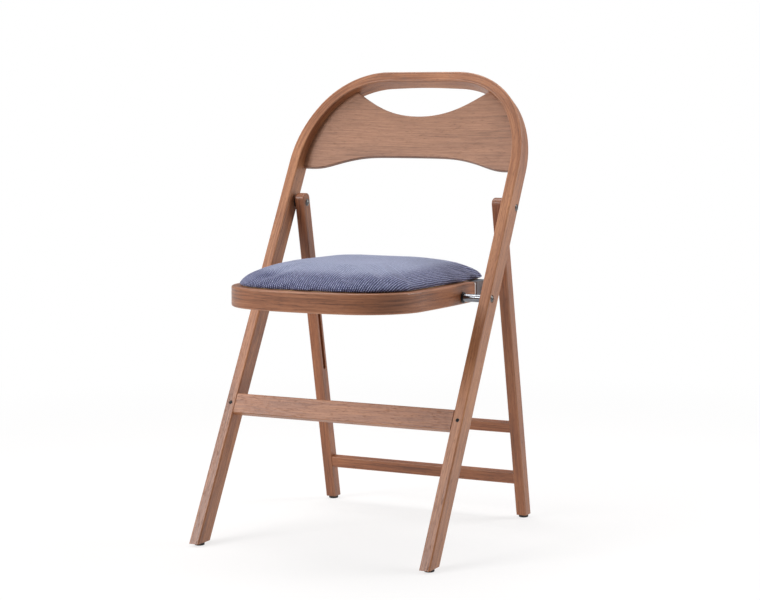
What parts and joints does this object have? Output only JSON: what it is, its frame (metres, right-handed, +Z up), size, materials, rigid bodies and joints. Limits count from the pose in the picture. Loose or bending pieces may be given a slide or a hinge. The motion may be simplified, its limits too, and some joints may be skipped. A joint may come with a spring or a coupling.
{
  "type": "folding chair",
  "caption": "Wooden folding chair with a bent arch frame, a bowed back panel with a hand hole, and a round-cornered padded seat that folds with the rear legs.",
  "frame": {"origin": "middle of the footprint box of the open chair, on the floor", "axes": "+Z up, the sitter faces -Y, +X to the left of a seated person"},
  "size_m": [0.454, 0.4943, 0.7893],
  "materials": {
    "bentwood": "bent ash, stained mid walnut, satin lacquer",
    "panel_veneer": "oak-grained veneer over moulded ply, stained mid walnut, satin lacquer",
    "rail_wood": "sawn ash, stained mid walnut, satin lacquer",
    "rear_wood": "sawn ash, stained mid walnut, satin lacquer",
    "rim_wood": "bent ash, stained mid walnut, satin lacquer",
    "block_wood": "unfinished softwood",
    "plywood": "unfinished birch plywood",
    "seat_fabric": "woven chenille, indigo and pale blue yarns",
    "foam": "open-cell upholstery foam",
    "bright_steel": "turned steel, bright zinc",
    "saddle_steel": "pressed steel, satin zinc",
    "plain_steel": "zinc-plated steel",
    "dark_nickel": "slotted dome heads, antique nickel",
    "black_screws": "black oxide",
    "black_nylon": "black nylon",
    "glide_rubber": "black rubber"
  },
  "bodies": {
    "front_frame": {"bent_frame": "bentwood", "back_panel": "panel_veneer", "front_stretcher": "rail_wood", "front_stretcher_screws": "black_screws", "front_glides": "glide_rubber", "front_glide_nails": "plain_steel", "rear_pivot_screws": "dark_nickel", "rear_pivot_barrel_nuts": "dark_nickel", "rear_pivot_washers": "black_nylon", "seat_pivot_screws": "dark_nickel", "seat_pivot_tubes": "bright_steel", "seat_pivot_nuts": "plain_steel"},
    "rear_frame": {"rear_leg_left": "rear_wood", "rear_leg_right": "rear_wood", "rear_upper_stretcher": "rear_wood", "rear_lower_stretcher": "rear_wood", "rear_pivot_bushes": "black_nylon", "rear_glides": "glide_rubber", "rear_glide_nails": "plain_steel"},
    "slot_slider": {"slot_rollers": "black_nylon"},
    "seat": {"seat_rim": "rim_wood", "seat_pivot_bushes": "black_nylon", "seat_cover": "seat_fabric", "seat_foam": "foam", "rear_saddle": "saddle_steel", "saddle_screws": "plain_steel", "slot_pins": "bright_steel", "seat_glue_blocks": "block_wood", "seat_board_screws": "plain_steel", "seat_board": "plywood"}
  },
  "joints": [
    {"name": "seat_fold", "type": "hinge", "parent": "front_frame", "child": "seat", "pos_m": [0, 0.01501, 0.41389], "axis": [-1, 0, 0], "range_deg": [0, 111.2]},
    {"name": "rear_fold", "type": "hinge", "parent": "front_frame", "child": "rear_frame", "pos_m": [0, 0.11786, 0.55888], "axis": [-1, 0, 0], "range_deg": [0, 40.01]},
    {"name": "roller_slide", "type": "slide", "parent": "rear_frame", "child": "slot_slider", "axis": [0, 0.1848, -0.9828], "range_m": [0, 0.1582]}
  ],
  "couplings": [
    {"joint": "rear_fold", "follows": "seat_fold", "ratio": 0.35973},
    {"joint": "roller_slide", "follows": "seat_fold", "m_per_rad": 0.081487}
  ]
}
